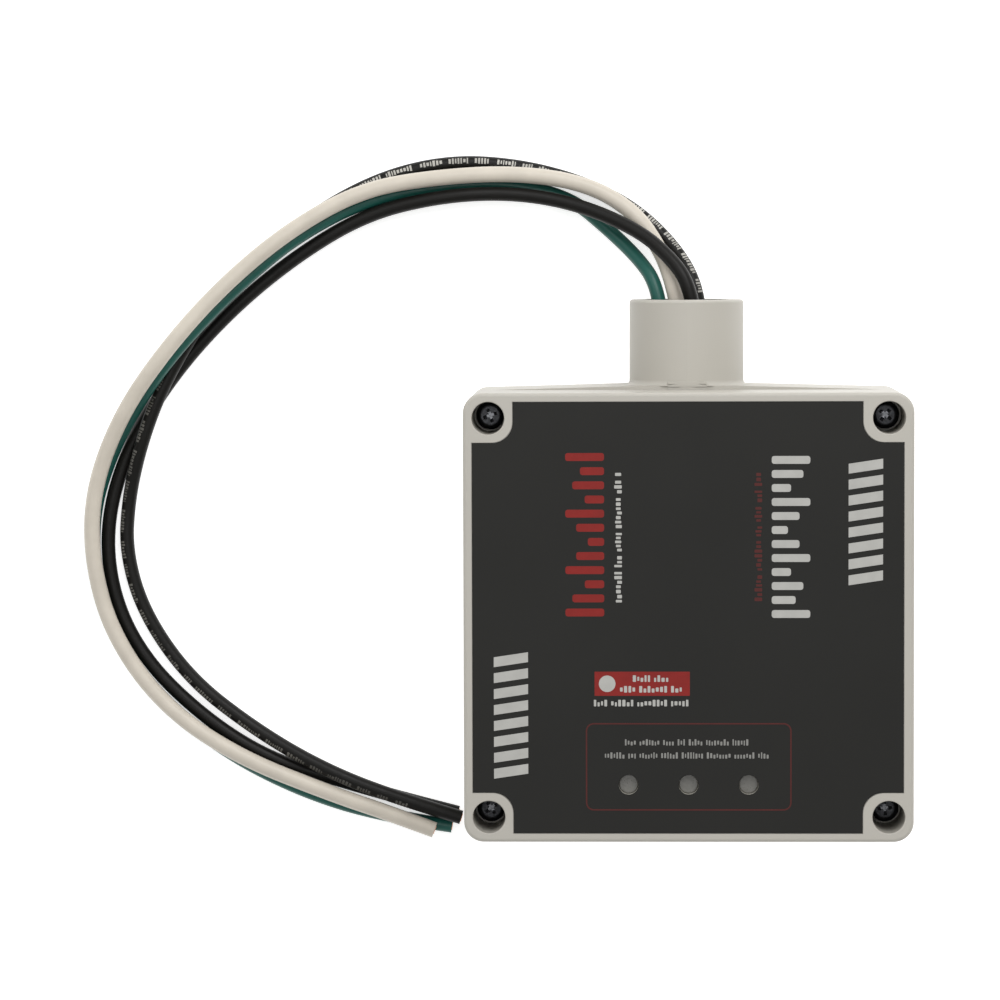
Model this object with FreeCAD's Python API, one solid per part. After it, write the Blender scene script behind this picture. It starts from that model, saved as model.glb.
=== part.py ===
"""Whole house surge protector: a square moulded case with a conduit hub and four loose leads.

Millimetres.  The origin is the centre of the case's back face, +Z points out of the front cover
and +Y out of the hub.  The case lies on its back and the leads lie on the same surface.
"""
import FreeCAD
import Part

import math
import os

Vector = FreeCAD.Vector
X_AXIS = Vector(1, 0, 0)
Y_AXIS = Vector(0, 1, 0)
Z_AXIS = Vector(0, 0, 1)
TOUCH = 1e-6                    # two heights this close are the same
PAST = 1.0                      # how far a cut or a join runs past the face it meets

# ---- case -----------------------------------------------------------------------------------
CASE = 130.0                    # side of the square case
CORNER_R = 5.8                  # radius of the case's upright corners
WALL = 3.0
BASE_TOP = 34.0                 # rim of the rear base
SEAM = 0.25                     # open joint between base and cover, closed by the gasket
FRONT = 62.0                    # front face of the cover
EDGE_R = 1.0                    # rounding around the front face and the back face
INNER = CASE - 2 * WALL
INNER_R = CORNER_R - WALL
COVER_LOW = BASE_TOP + SEAM

# ---- cover screws in their corner wells ----------------------------------------------------
SCREW_AT = 57.75                # each screw's distance from the centre, in X and in Y
WELL_R = 4.7
WELL_WALL = 2.2
WELL_EDGE_R = 0.3
WELL_FLOOR = 37.2
HEAD_R = 4.1
HEAD_TOP = 40.0
SHANK_R = 2.0
SHANK_PITCH = 0.7
SHANK_GROOVE = 0.35             # depth of the thread on a cover screw's shank
SHANK_PLAIN = 3.0               # length of plain shank under the head
SCREW_TIP = 22.0
SCREW_PASS_R = 2.3              # hole through the well's floor
POST_R = 5.6
SEAT_GAP = 0.05
COVER_SCREW_TURNS = (20, 50, 35, 5)     # how far each cross recess is turned, in degrees
HEAD_ROUND = 0.55               # share of a head's height that is rounded
RECESS_REACH = 1.15             # length of a recess arm, as a share of the head's radius
RECESS_WIDTH = 0.26
RECESS_SINK = 0.7               # recess depth, as a share of the head's height
RECESS_FLOOR = (0.45, 0.8)      # how much an arm's length and width shrink towards its floor
INSERT_R = 3.2
INSERT_LOW = 24.0
INSERT_BORE_R = 2.05
KNURL_AT = (26.2, 30.6)         # Z of the two knurl grooves
KNURL_WIDE = 1.2
KNURL_DEEP = 0.5
POST_BORE_R = 2.4
POST_BORE_LOW = 20.0

# ---- gasket ---------------------------------------------------------------------------------
GASKET_WIDTH = 1.4
GASKET_DEPTH = 1.2
GASKET_PROUD = 0.2

# ---- conduit hub, for a 3/4 inch 14 tpi pipe thread -----------------------------------------
HUB_R = 16.9
HUB_Z = 17.0
HUB_MOUTH = 91.3                # Y of the open end
HUB_RIM_R = 0.9
HUB_FOOT_R = 1.5
THREAD_PITCH = 25.4 / 14
THREAD_CREST_R = 12.3
THREAD_ROOT_R = 13.2
THREAD_TURNS = 8
THROAT_R = 11.8
RAMP_HEIGHT = 1.05              # the top wall swells towards the hub
RAMP_FOOT = 57.0
RAMP_HEAD = 17.0
TAB_HALF = 5.7                  # flat tab between the hub and the seam
TAB_REACH = 67.4
TAB_LOW = 30.0
TAB_GROOVE = 0.35
TAB_GROOVES_AT = (65.5, 66.3)   # Y of the two grooves

# ---- graphic overlay and its recess -------------------------------------------------------------
OVERLAY_X = 124.4
OVERLAY_Y = 124.8
OVERLAY_SHIFT = -0.2            # the overlay sits a little left of centre
OVERLAY_THICK = 0.4
OVERLAY_GAP = 0.15
RECESS_DEPTH = 0.5
NOTCH = 11.8                    # corner notch around each well
NOTCH_R = 6.0

# ---- light pipes over the status lights ----------------------------------------------------------
LIGHT_PITCH = 17.35
LIGHT_Y = -48.35
PIPE_R = 2.5
PIPE_FIT = 0.05
PIPE_HEAD_R = 2.8
PIPE_HEAD_HIGH = 0.9
PIPE_DOME = 0.4                 # share of the head's height that is rounded
PIPE_SINK = 2.6                 # the heads lie this far below the front face
PIPE_SEAT = FRONT - PIPE_SINK - PIPE_HEAD_HIGH
PIPE_LOW = 22.0
PIPE_BOSS_R = 4.4
PIPE_BOSS_LOW = 50.0

# ---- rear fixing holes, for screws into mounting feet -----------------------------------------
FIXING_X = 52.0
FIXING_Y = 38.0
FIXING_R = 1.7
FIXING_DEPTH = 6.5
FIXING_BOSS_R = 4.2
FIXING_BOSS_TOP = 8.5

# ---- circuit board --------------------------------------------------------------------------
BOARD_LEFT = 46.0               # half width
BOARD_LOW_Y = -53.0
BOARD_HIGH_Y = 37.0
BOARD_R = 2.0
BOARD_Z = 10.0
BOARD_TOP = 11.6
BOARD_SCREW_X = 41.0
BOARD_SCREW_Y = (-47.0, 31.0)
BOARD_POST_R = 3.5
BOARD_PILOT_R = 1.3
BOARD_SCREW_R = 1.25
BOARD_HOLE_R = 1.7
BOARD_HEAD_R = 2.8
BOARD_HEAD_HIGH = 1.8
BOARD_SCREW_TIP = 5.0
BOARD_SCREW_TURNS = (10, 40, 25, 0)
SHEET_Z = 8.2
SHEET_THICK = 0.5
SHEET_INSET = 1.0
SHEET_HOLE_R = 3.8

# ---- surge parts on the board ---------------------------------------------------------------
BANKS = (("line1", -29.0), ("neutral", 0.0), ("line2", 29.0))
VARISTOR_R = 10.0
VARISTOR_THICK = 5.2
VARISTOR_EDGE_R = 2.0
VARISTOR_ROWS = (-13.0, -4.0, 5.0)
LEG_R = 0.45
LEG_HIGH = 2.6
LEG_SPREAD = 5.0
FUSE_R = 2.6
FUSE_LONG = 20.0
FUSE_CAP = 5.0
FUSE_STEP = 0.25                # the caps stand this far out from the tube
FUSE_Y = 19.0
FUSE_Z = BOARD_TOP + 4.4
CLIP_OFFSET = 7.4
CLIP_WIDE = 4.0
CLIP_THICK = 0.7
CLIP_FIT = 0.02
CLIP_FOOT = 2.2                 # half the foot's breadth
CLIP_MOUTH = 1.9                # half the gap between the clip's upper ends
BUS_Y = 12.2
BUS_HALF = 11.0
BUS_WIDE = 4.0
BUS_THICK = 1.0
BUS_END_R = 1.8
BUS_HOLE_R = 0.9
BUS_HOLE_INSET = 3.0
CAPACITOR = (18.0, 8.0, 14.0)
CAPACITOR_EDGE_R = 0.6
CAPACITOR_AT = ((-27.0, -28.0), (27.0, -28.0))
TUBE_R = 4.0
TUBE_LONG = 6.0
TUBE_CAP = 1.2
TUBE_STEP = 0.3
TUBE_Y = -27.0
RESISTOR_R = 1.5
RESISTOR_LONG = 8.0
RESISTOR_Y = -40.5
DIODE_R = 1.3
DIODE_LONG = 5.0
AXIAL_LIFT = 0.3                # gap between a small axial part and the board
AXIAL_EDGE = 0.35               # rounding of its ends, as a share of its radius
WIRE_REACH = 1.2                # how far its wires run before they bend down
FOOT_R = 0.55
SMALL_SHIFT = 4.9               # sideways from a light to its resistor and its diode
LED_R = 2.5
LED_FLANGE_R = 2.9
LED_FLANGE_HIGH = 1.0
LED_BODY = 5.8

# ---- leads, 10 AWG with thermoplastic cover ------------------------------------------------------
LEAD_R = 2.1
NEUTRAL_R = 2.4                 # the neutral has the thickest cover
SEAL_OUT = 75.0                 # outer face of the hub's sealing plug
SEAL_IN = 63.0
LUG_Y = (36.0, 44.0)            # crimp barrel of each lead lug
LUG_Z = 17.0
LUG_FIT = 0.05
LUG_R = 3.3
LUG_FOOT = 7.0
LUG_FOOT_THICK = 0.9
LUG_FOOT_Y = (28.0, 35.0)
LUG_BACK = 34.0                 # Y of the barrel's closed end
TAIL_END = 37.0
TAIL_BEND = (58.0, 50.5)        # Y where each inner tail leaves and reaches its lane
ARC_SHARE = 0.45                # part of the shorter run that each side of an arc takes up

# Each lead's route: out of the seal, down to the surface and round the loop.
GROUND_ROUTE = [
    (-7.1, 75.0, 15.4), (-6.9, 83.6, 15.3), (-9.2, 96.4, 14.4), (-14.3, 103.5, 9.0),
    (-22.6, 111.6, 3.8), (-34.6, 121.8, 2.2), (-54.1, 126.3, 2.2), (-75.0, 125.1, 2.2),
    (-96.2, 121.2, 2.9), (-116.9, 110.2, 7.2), (-133.5, 96.3, 8.6), (-145.1, 84.9, 9.8),
    (-155.2, 73.4, 11.3), (-165.0, 59.9, 7.7), (-174.0, 43.5, 2.6), (-179.0, 26.6, 2.2),
    (-178.6, 8.1, 2.2), (-173.3, -9.5, 2.2), (-160.2, -28.2, 2.2), (-139.8, -45.1, 2.2),
    (-116.0, -57.3, 2.2), (-91.9, -64.7, 2.2), (-70.8, -67.8, 2.2),
]
NEUTRAL_ROUTE = [
    (-1.8, 75.0, 15.2), (-1.6, 83.6, 14.9), (-4.1, 96.7, 15.4), (-8.0, 106.6, 8.4),
    (-15.6, 117.6, 7.5), (-29.7, 125.9, 6.7), (-50.8, 129.1, 6.7), (-74.9, 127.9, 6.8),
    (-97.3, 124.1, 7.2), (-118.7, 112.1, 10.9), (-138.1, 95.9, 13.2), (-154.6, 77.7, 15.6),
    (-169.1, 57.4, 13.1), (-178.4, 34.6, 7.6), (-179.0, 12.8, 6.7), (-172.8, -9.7, 6.7),
    (-157.6, -31.0, 6.7), (-135.2, -46.4, 6.7), (-106.6, -57.7, 6.7), (-91.4, -62.8, 6.7),
    (-75.9, -68.5, 6.7),
]
LINE1_ROUTE = [
    (2.9, 75.0, 20.4), (3.1, 83.6, 20.1), (0.3, 96.6, 20.4), (-4.9, 103.8, 17.6),
    (-14.4, 112.0, 13.0), (-32.8, 119.9, 7.8), (-52.4, 123.2, 6.0), (-73.6, 122.2, 6.4),
    (-96.2, 116.8, 3.8), (-117.4, 104.2, 2.2), (-137.0, 88.2, 2.2), (-154.3, 69.2, 2.2),
    (-168.2, 47.2, 2.2), (-175.1, 24.2, 2.2), (-173.2, 2.0, 2.2), (-163.6, -17.5, 2.2),
    (-146.0, -34.7, 2.2), (-126.7, -47.2, 2.2), (-105.4, -53.8, 2.2), (-87.1, -59.1, 2.2),
    (-68.9, -63.8, 2.2),
]
LINE2_ROUTE = [
    (4.2, 75.0, 12.2), (4.4, 83.6, 11.9), (2.7, 96.4, 11.4), (-3.9, 107.4, 5.2),
    (-15.4, 118.4, 2.3), (-30.4, 126.1, 2.2), (-49.5, 131.3, 2.2), (-70.6, 132.7, 2.2),
    (-91.8, 127.8, 2.2), (-112.4, 116.6, 2.2), (-130.6, 101.8, 3.0), (-144.0, 87.3, 4.8),
    (-152.9, 73.4, 6.7), (-159.2, 60.8, 7.2), (-164.4, 46.2, 6.2), (-168.1, 31.3, 2.3),
    (-169.1, 15.4, 2.2), (-163.8, -3.2, 2.2), (-150.1, -23.1, 2.2), (-130.7, -38.2, 2.4),
    (-111.1, -49.3, 6.4), (-89.8, -58.1, 6.7), (-67.8, -64.7, 6.7),
]
# lead name, route, radius, and the X of the lane that its inner tail takes to its lug
LEADS = (
    ("ground", GROUND_ROUTE, LEAD_R, -15.0),
    ("neutral", NEUTRAL_ROUTE, NEUTRAL_R, -5.0),
    ("line1", LINE1_ROUTE, LEAD_R, 5.0),
    ("line2", LINE2_ROUTE, LEAD_R, 15.0),
)


# ---- shape helpers ------------------------------------------------------------------------------
def block(x_range, y_range, z_range):
    """A box between two values along each axis."""
    low = Vector(x_range[0], y_range[0], z_range[0])
    size = [b - a for a, b in (x_range, y_range, z_range)]
    return Part.makeBox(*size, low)


def rod(axis, centre, radius, low, high):
    """A cylinder along an axis; centre holds the two other coordinates in X, Y, Z order."""
    if axis == Z_AXIS:
        start = Vector(centre[0], centre[1], low)
    elif axis == Y_AXIS:
        start = Vector(centre[0], low, centre[1])
    else:
        start = Vector(low, centre[0], centre[1])
    return Part.makeCylinder(radius, high - low, start, axis)


def plate(size_x, size_y, radius, low, high, centre=(0.0, 0.0)):
    """A rounded rectangle between two heights."""
    solid = block((centre[0] - size_x / 2, centre[0] + size_x / 2),
                  (centre[1] - size_y / 2, centre[1] + size_y / 2), (low, high))
    return solid.makeFillet(radius, [e for e in solid.Edges if along_z(e)])


def along_z(edge):
    """Whether an edge is straight and upright."""
    ends = [v.Point for v in edge.Vertexes]
    return len(ends) == 2 and (ends[1] - ends[0]).cross(Z_AXIS).Length < TOUCH


def flat_edges(solid, height):
    """The edges of a solid that lie wholly at one height."""
    return [e for e in solid.Edges
            if abs(e.BoundBox.ZMin - height) < TOUCH and abs(e.BoundBox.ZMax - height) < TOUCH]


def revolve(points, centre, axis):
    """A solid of revolution of a closed outline around an axis."""
    outline = Part.makePolygon(points + points[:1])
    return Part.Face(outline).revolve(centre, axis, 360)


def joined(shapes):
    """All shapes as one solid."""
    return shapes[0].multiFuse(shapes[1:]).removeSplitter()


def corners(at_x, at_y):
    """The four points at plus and minus two distances."""
    return [(sx * at_x, sy * at_y) for sy in (1, -1) for sx in (-1, 1)]


def save(name, shape):
    """Write one node and check that it is sound."""
    if not shape.isValid():
        raise RuntimeError(f"{name} isn't a valid shape")
    shape.exportStep(f"parts/{name}.step")


# ---- case ---------------------------------------------------------------------------------------
def hub_bore():
    """The threaded mouth and plain throat that are cut out of the hub."""
    start = HUB_MOUTH - THREAD_TURNS * THREAD_PITCH
    inner = CASE / 2 - WALL - PAST
    points = [Vector(0, inner, HUB_Z), Vector(THROAT_R, inner, HUB_Z),
              Vector(THROAT_R, start, HUB_Z), Vector(THREAD_CREST_R, start, HUB_Z)]
    for turn in range(THREAD_TURNS):
        low = start + turn * THREAD_PITCH
        points.append(Vector(THREAD_ROOT_R, low + THREAD_PITCH / 2, HUB_Z))
        points.append(Vector(THREAD_CREST_R, low + THREAD_PITCH, HUB_Z))
    points.append(Vector(THREAD_CREST_R, HUB_MOUTH + PAST, HUB_Z))
    points.append(Vector(0, HUB_MOUTH + PAST, HUB_Z))
    return revolve(points, Vector(0, 0, HUB_Z), Y_AXIS)


def hub():
    """The outside of the conduit hub, with its rounded rim and filleted foot."""
    tube = rod(Y_AXIS, (0, HUB_Z), HUB_R, CASE / 2 - WALL, HUB_MOUTH)
    rim = [e for e in tube.Edges if e.BoundBox.YMin > HUB_MOUTH - TOUCH]
    tube = tube.makeFillet(HUB_RIM_R, rim)
    foot_y = CASE / 2 + RAMP_HEIGHT
    ring = Part.makeCylinder(HUB_R + HUB_FOOT_R, HUB_FOOT_R, Vector(0, foot_y, HUB_Z), Y_AXIS)
    hollow = Part.makeTorus(HUB_R + HUB_FOOT_R, HUB_FOOT_R,
                            Vector(0, foot_y + HUB_FOOT_R, HUB_Z), Y_AXIS)
    foot = ring.cut(hollow).common(block((-CASE, CASE), (0, CASE), (0, BASE_TOP)))
    return tube.fuse(foot)


def top_wall_ramp():
    """The slight swell of the top wall towards the hub."""
    y = CASE / 2
    points = [Vector(-RAMP_FOOT, y - PAST, 0), Vector(-RAMP_FOOT, y, 0),
              Vector(-RAMP_HEAD, y + RAMP_HEIGHT, 0), Vector(RAMP_HEAD, y + RAMP_HEIGHT, 0),
              Vector(RAMP_FOOT, y, 0), Vector(RAMP_FOOT, y - PAST, 0)]
    wedge = Part.Face(Part.makePolygon(points + points[:1]))
    return wedge.extrude(Vector(0, 0, BASE_TOP - EDGE_R)).translated(Vector(0, 0, EDGE_R / 2))


def tab():
    """The flat grooved tab where the hub meets the seam."""
    solid = block((-TAB_HALF, TAB_HALF), (CASE / 2 - PAST, TAB_REACH), (TAB_LOW, BASE_TOP))
    for y in TAB_GROOVES_AT:
        groove = block((-TAB_HALF - PAST, TAB_HALF + PAST), (y, y + TAB_GROOVE),
                       (BASE_TOP - TAB_GROOVE, BASE_TOP + PAST))
        solid = solid.cut(groove)
    return solid


def rear_base():
    """The open box that holds everything, with the hub on its top wall."""
    outside = plate(CASE, CASE, CORNER_R, 0, BASE_TOP)
    outside = outside.makeFillet(EDGE_R, flat_edges(outside, 0))
    outside = joined([outside, top_wall_ramp(), hub(), tab()])
    hollow = plate(INNER, INNER, INNER_R, WALL, BASE_TOP + PAST)
    posts = [rod(Z_AXIS, at, POST_R, WALL - PAST, BASE_TOP) for at in corners(SCREW_AT, SCREW_AT)]
    bosses = [rod(Z_AXIS, at, FIXING_BOSS_R, WALL - PAST, FIXING_BOSS_TOP)
              for at in corners(FIXING_X, FIXING_Y)]
    board_posts = [rod(Z_AXIS, at, BOARD_POST_R, WALL - PAST, BOARD_Z) for at in board_screw_places()]
    inside = plate(CASE - WALL, CASE - WALL, CORNER_R - WALL / 2, WALL / 2, BASE_TOP)
    inner = joined(posts + bosses + board_posts).common(inside)
    base = joined([outside.cut(hollow), inner])
    cuts = [hub_bore(), gasket_ring(BASE_TOP - GASKET_DEPTH, BASE_TOP + PAST)]
    for at in corners(SCREW_AT, SCREW_AT):
        cuts.append(rod(Z_AXIS, at, INSERT_R, INSERT_LOW, BASE_TOP + PAST))
        cuts.append(rod(Z_AXIS, at, POST_BORE_R, POST_BORE_LOW, BASE_TOP))
    cuts += [rod(Z_AXIS, at, FIXING_R, -PAST, FIXING_DEPTH) for at in corners(FIXING_X, FIXING_Y)]
    cuts += [rod(Z_AXIS, at, BOARD_PILOT_R, WALL + PAST, BOARD_Z + PAST) for at in board_screw_places()]
    return base.cut(cuts)


def gasket_ring(low, high):
    """The rounded ring that runs round the middle of the base's rim."""
    side = CASE - WALL
    radius = CORNER_R - WALL / 2
    half = GASKET_WIDTH / 2
    outer = plate(side + GASKET_WIDTH, side + GASKET_WIDTH, radius + half, low, high)
    inner = plate(side - GASKET_WIDTH, side - GASKET_WIDTH, radius - half, low - PAST, high + PAST)
    return outer.cut(inner)


def notched_plate(grow, low, high):
    """The overlay's outline, grown all round: a plate with a rounded notch at each corner."""
    size_x = OVERLAY_X + 2 * grow
    size_y = OVERLAY_Y + 2 * grow
    solid = block((-size_x / 2, size_x / 2), (-size_y / 2, size_y / 2), (low, high))
    for at in corners(size_x / 2, size_y / 2):
        solid = solid.cut(plate(2 * NOTCH, 2 * NOTCH, NOTCH_R, low - PAST, high + PAST, at))
    return solid.translated(Vector(OVERLAY_SHIFT, 0, 0))


def light_places():
    """The three status lights, from left to right."""
    return [(step * LIGHT_PITCH, LIGHT_Y) for step in (-1, 0, 1)]


def front_cover():
    """The screwed front half, with screw wells, light pipe bosses and the overlay's recess."""
    outside = plate(CASE, CASE, CORNER_R, COVER_LOW, FRONT)
    outside = outside.makeFillet(EDGE_R, flat_edges(outside, FRONT))
    hollow = plate(INNER, INNER, INNER_R, COVER_LOW - PAST, FRONT - WALL)
    columns = [rod(Z_AXIS, at, WELL_R + WELL_WALL, COVER_LOW, FRONT - WALL + PAST)
               for at in corners(SCREW_AT, SCREW_AT)]
    bosses = [rod(Z_AXIS, at, PIPE_BOSS_R, PIPE_BOSS_LOW, FRONT - WALL + PAST) for at in light_places()]
    inside = plate(CASE - WALL, CASE - WALL, CORNER_R - WALL / 2, COVER_LOW, FRONT - EDGE_R)
    cover = joined([outside.cut(hollow), joined(columns + bosses).common(inside)])
    cuts = [notched_plate(OVERLAY_GAP, FRONT - RECESS_DEPTH, FRONT + PAST)]
    for at in corners(SCREW_AT, SCREW_AT):
        cuts.append(rod(Z_AXIS, at, WELL_R, WELL_FLOOR, FRONT + PAST))
        cuts.append(rod(Z_AXIS, at, SCREW_PASS_R, COVER_LOW - PAST, WELL_FLOOR + PAST))
    for at in light_places():
        cuts.append(rod(Z_AXIS, at, PIPE_R + PIPE_FIT, PIPE_BOSS_LOW - PAST, FRONT + PAST))
        cuts.append(rod(Z_AXIS, at, PIPE_HEAD_R + PIPE_FIT, PIPE_SEAT, FRONT + PAST))
    cover = cover.cut(cuts)
    mouths = [e for e in flat_edges(cover, FRONT)
              if isinstance(e.Curve, Part.Circle) and abs(e.Curve.Radius - WELL_R) < TOUCH]
    return cover.makeFillet(WELL_EDGE_R, mouths)


def graphic_overlay():
    """The thin dark panel with openings for the three lights."""
    low = FRONT - RECESS_DEPTH
    panel = notched_plate(0, low, low + OVERLAY_THICK)
    return panel.cut([rod(Z_AXIS, at, PIPE_HEAD_R + PIPE_FIT, low - PAST, FRONT + PAST)
                      for at in light_places()])


def light_pipe(at):
    """A clear rod that carries one status light up to a flat head, sunk in the front."""
    stem = rod(Z_AXIS, at, PIPE_R, PIPE_LOW, PIPE_SEAT)
    top = PIPE_SEAT + PIPE_HEAD_HIGH
    head = rod(Z_AXIS, at, PIPE_HEAD_R, PIPE_SEAT, top)
    head = head.makeFillet(PIPE_HEAD_HIGH * PIPE_DOME, flat_edges(head, top))
    return joined([stem, head])


# ---- fasteners ---------------------------------------------------------------------------------
def cross_recess(at, top, head_r, depth, turn):
    """A tapered cross for a Phillips driver, turned by some degrees."""
    reach = head_r * RECESS_REACH
    width = head_r * RECESS_WIDTH
    upper = Part.makePolygon(rectangle(at, reach, width, top + PAST / 2))
    lower = Part.makePolygon(rectangle(at, reach * RECESS_FLOOR[0], width * RECESS_FLOOR[1], top - depth))
    arm = Part.makeLoft([lower, upper], True, True)
    middle = Vector(at[0], at[1], top)
    other = arm.copy()
    other.rotate(middle, Z_AXIS, 90)
    cross = arm.fuse(other)
    cross.rotate(middle, Z_AXIS, turn)
    return cross


def rectangle(at, size_x, size_y, height):
    """The closed corner list of a level rectangle."""
    points = [Vector(at[0] + sx * size_x / 2, at[1] + sy * size_y / 2, height)
              for sx, sy in ((-1, -1), (1, -1), (1, 1), (-1, 1))]
    return points + points[:1]


def ridged_rod(at, radius, low, high):
    """An upright rod whose side is a row of V-shaped rings, which stand for its thread."""
    count = round((high - low) / SHANK_PITCH)
    step = (high - low) / count
    outline = [Vector(0, 0, low)]
    for ring in range(count):
        outline += [Vector(radius - SHANK_GROOVE, 0, low + ring * step),
                    Vector(radius, 0, low + (ring + 0.5) * step)]
    outline += [Vector(radius - SHANK_GROOVE, 0, high), Vector(0, 0, high)]
    solid = Part.Face(Part.makePolygon(outline + outline[:1])).revolve(Vector(0, 0, 0), Z_AXIS, 360)
    return solid.translated(Vector(at[0], at[1], 0))


def pan_screw(at, seat, head_r, head_top, shank_r, tip, turn, ridged=False):
    """A pan-head screw that points down, with a cross recess and a pointed end."""
    head = rod(Z_AXIS, at, head_r, seat, head_top)
    head = head.makeFillet((head_top - seat) * HEAD_ROUND, flat_edges(head, head_top))
    low = tip + shank_r / 2
    shank = [rod(Z_AXIS, at, shank_r, low, (seat + head_top) / 2)]
    if ridged:
        shank = [ridged_rod(at, shank_r, low, seat - SHANK_PLAIN),
                 rod(Z_AXIS, at, shank_r, seat - SHANK_PLAIN, (seat + head_top) / 2)]
    point = Part.makeCone(shank_r / 2, shank_r, shank_r / 2, Vector(at[0], at[1], tip), Z_AXIS)
    recess = cross_recess(at, head_top, head_r, (head_top - seat) * RECESS_SINK, turn)
    return joined([head, *shank, point]).cut(recess)


def screw_insert(at):
    """A brass sleeve with knurl grooves, moulded into a corner post."""
    sleeve = rod(Z_AXIS, at, INSERT_R, INSERT_LOW, BASE_TOP)
    sleeve = sleeve.cut(rod(Z_AXIS, at, INSERT_BORE_R, INSERT_LOW - PAST, BASE_TOP + PAST))
    for low in KNURL_AT:
        band = rod(Z_AXIS, at, INSERT_R + PAST, low, low + KNURL_WIDE)
        core = rod(Z_AXIS, at, INSERT_R - KNURL_DEEP, low - PAST, low + KNURL_WIDE + PAST)
        sleeve = sleeve.cut(band.cut(core))
    return sleeve


# ---- circuit board and what it carries -------------------------------------------------------
def board_screw_places():
    """The board's four fixing points."""
    return [(sx * BOARD_SCREW_X, y) for y in BOARD_SCREW_Y for sx in (-1, 1)]


def board_plate(inset, low, high, hole_r):
    """A board outline with a hole at each fixing point."""
    middle = (0.0, (BOARD_LOW_Y + BOARD_HIGH_Y) / 2)
    solid = plate(2 * (BOARD_LEFT - inset), BOARD_HIGH_Y - BOARD_LOW_Y - 2 * inset, BOARD_R,
                  low, high, middle)
    return solid.cut([rod(Z_AXIS, at, hole_r, low - PAST, high + PAST) for at in board_screw_places()])


def varistor(x, y):
    """A coated disc varistor that stands on two legs."""
    middle = BOARD_TOP + LEG_HIGH + VARISTOR_R
    disc = rod(Y_AXIS, (x, middle), VARISTOR_R, y - VARISTOR_THICK / 2, y + VARISTOR_THICK / 2)
    disc = disc.makeFillet(VARISTOR_EDGE_R, [e for e in disc.Edges if not e.isSeam(disc.Faces[0])])
    legs = [rod(Z_AXIS, (x + side * LEG_SPREAD, y + side), LEG_R, BOARD_TOP, middle - VARISTOR_R / 2)
            for side in (-1, 1)]
    return joined([disc] + legs)


def thermal_fuse(x):
    """A tubular fuse with a metal cap at each end."""
    half = FUSE_LONG / 2
    body = rod(X_AXIS, (FUSE_Y, FUSE_Z), FUSE_R - FUSE_STEP, x - half + PAST, x + half - PAST)
    caps = [rod(X_AXIS, (FUSE_Y, FUSE_Z), FUSE_R, low, low + FUSE_CAP)
            for low in (x - half, x + half - FUSE_CAP)]
    return joined([body] + caps)


def fuse_clip(x):
    """A sprung clip that holds one end of a fuse."""
    half = CLIP_WIDE / 2
    outer_r = FUSE_R + CLIP_THICK
    ring = rod(X_AXIS, (FUSE_Y, FUSE_Z), outer_r, x - half, x + half)
    foot = block((x - half, x + half), (FUSE_Y - CLIP_FOOT, FUSE_Y + CLIP_FOOT),
                 (BOARD_TOP, FUSE_Z - FUSE_R))
    mouth = block((x - CLIP_WIDE, x + CLIP_WIDE), (FUSE_Y - CLIP_MOUTH, FUSE_Y + CLIP_MOUTH),
                  (FUSE_Z, FUSE_Z + 2 * outer_r))
    bore = rod(X_AXIS, (FUSE_Y, FUSE_Z), FUSE_R + CLIP_FIT, x - CLIP_WIDE, x + CLIP_WIDE)
    return joined([ring, foot]).cut([mouth, bore])


def bus_bar(x):
    """A copper strap with rounded ends and a round solder hole at each end."""
    strap = plate(2 * BUS_HALF, BUS_WIDE, BUS_END_R, BOARD_TOP, BOARD_TOP + BUS_THICK,
                  (x, BUS_Y))
    return strap.cut([rod(Z_AXIS, (x + side * (BUS_HALF - BUS_HOLE_INSET), BUS_Y), BUS_HOLE_R, 0, FRONT)
                      for side in (-1, 1)])


def film_capacitor(at):
    """A boxed film capacitor with softened edges."""
    half_x = CAPACITOR[0] / 2
    half_y = CAPACITOR[1] / 2
    body = block((at[0] - half_x, at[0] + half_x), (at[1] - half_y, at[1] + half_y),
                 (BOARD_TOP, BOARD_TOP + CAPACITOR[2]))
    return body.makeFillet(CAPACITOR_EDGE_R, [e for e in body.Edges if e.BoundBox.ZMax > BOARD_TOP + TOUCH])


def discharge_tube():
    """A ceramic gas discharge tube with stepped end caps."""
    centre = (TUBE_Y, BOARD_TOP + TUBE_R)
    half = TUBE_LONG / 2
    body = rod(X_AXIS, centre, TUBE_R - TUBE_STEP, -half, half)
    caps = [rod(X_AXIS, centre, TUBE_R, side * (half + TUBE_CAP / 2) - TUBE_CAP / 2,
                side * (half + TUBE_CAP / 2) + TUBE_CAP / 2) for side in (-1, 1)]
    return joined([body] + caps)


def axial_part(x, y, radius, length):
    """A small axial part that lies along Y, with its wires bent down to the board."""
    centre_z = BOARD_TOP + radius + AXIAL_LIFT
    body = rod(Y_AXIS, (x, centre_z), radius, y - length / 2, y + length / 2)
    body = body.makeFillet(radius * AXIAL_EDGE, [e for e in body.Edges if not e.isSeam(body.Faces[0])])
    reach = length / 2 + WIRE_REACH
    wire = rod(Y_AXIS, (x, centre_z), LEG_R, y - reach, y + reach)
    feet = [rod(Z_AXIS, (x, y + side * reach), FOOT_R, BOARD_TOP, centre_z + FOOT_R)
            for side in (-1, 1)]
    return joined([body, wire] + feet)


def status_led(at):
    """A domed indicator with its flange, under one light pipe."""
    flange = rod(Z_AXIS, at, LED_FLANGE_R, BOARD_TOP, BOARD_TOP + LED_FLANGE_HIGH)
    body = rod(Z_AXIS, at, LED_R, BOARD_TOP, BOARD_TOP + LED_BODY)
    dome = Part.makeSphere(LED_R, Vector(at[0], at[1], BOARD_TOP + LED_BODY))
    return joined([flange, body, dome])


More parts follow.
